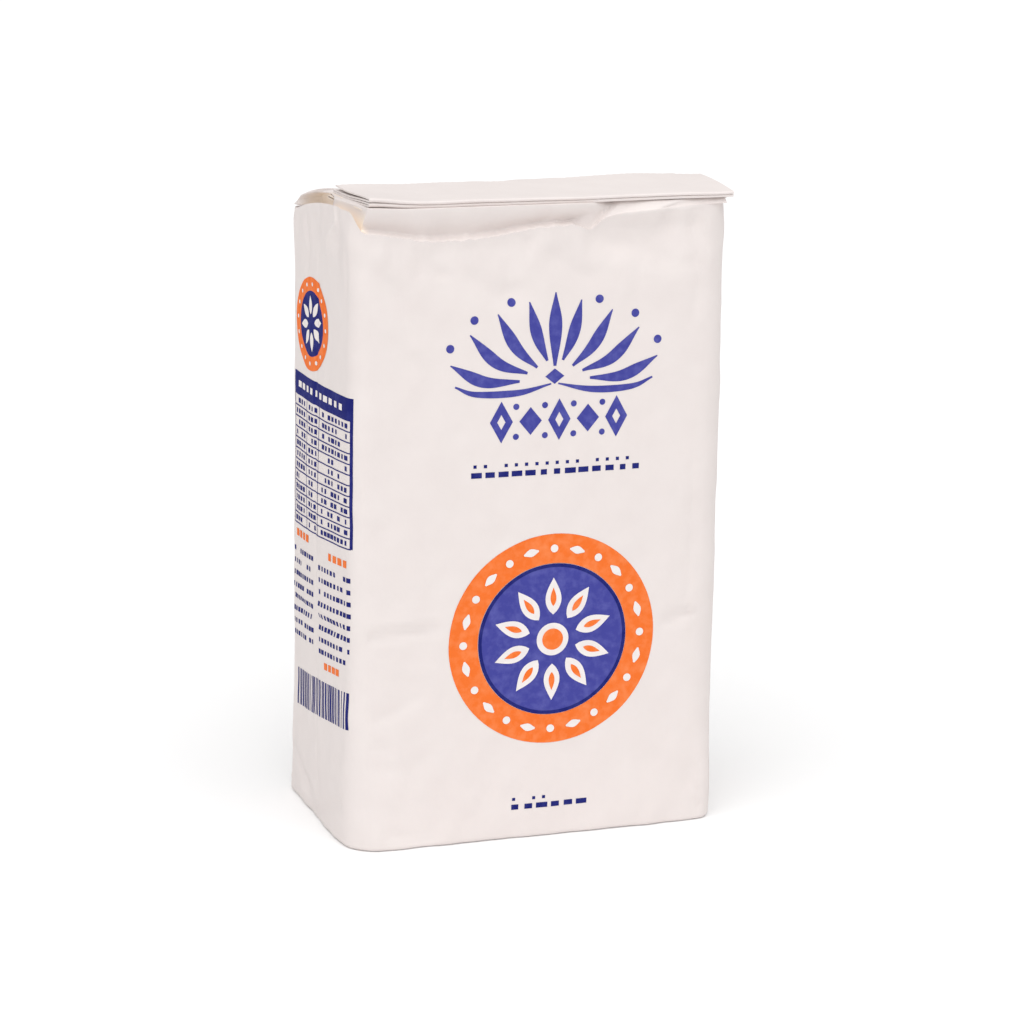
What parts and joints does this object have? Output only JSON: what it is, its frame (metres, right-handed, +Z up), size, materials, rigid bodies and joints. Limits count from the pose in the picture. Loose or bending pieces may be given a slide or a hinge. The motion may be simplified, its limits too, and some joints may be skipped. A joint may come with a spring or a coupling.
{
  "type": "bag of flour",
  "caption": "Shut paper bag of flour standing on its block bottom, with tucked side gussets and a top folded over into a flat strip",
  "frame": {"origin": "under the middle of the bag, on the plane it stands on", "axes": "+Z up, the printed front faces -Y, +X to the right of the front, the folded strip runs along X"},
  "size_m": [0.1102, 0.0644, 0.1794],
  "materials": {
    "paper": "uncoated bleached kraft paper, matt to soft satin, lightly creased, printed in blue and orange"
  },
  "bodies": {
    "root": {"flour_bag": "paper"}
  },
  "joints": []
}
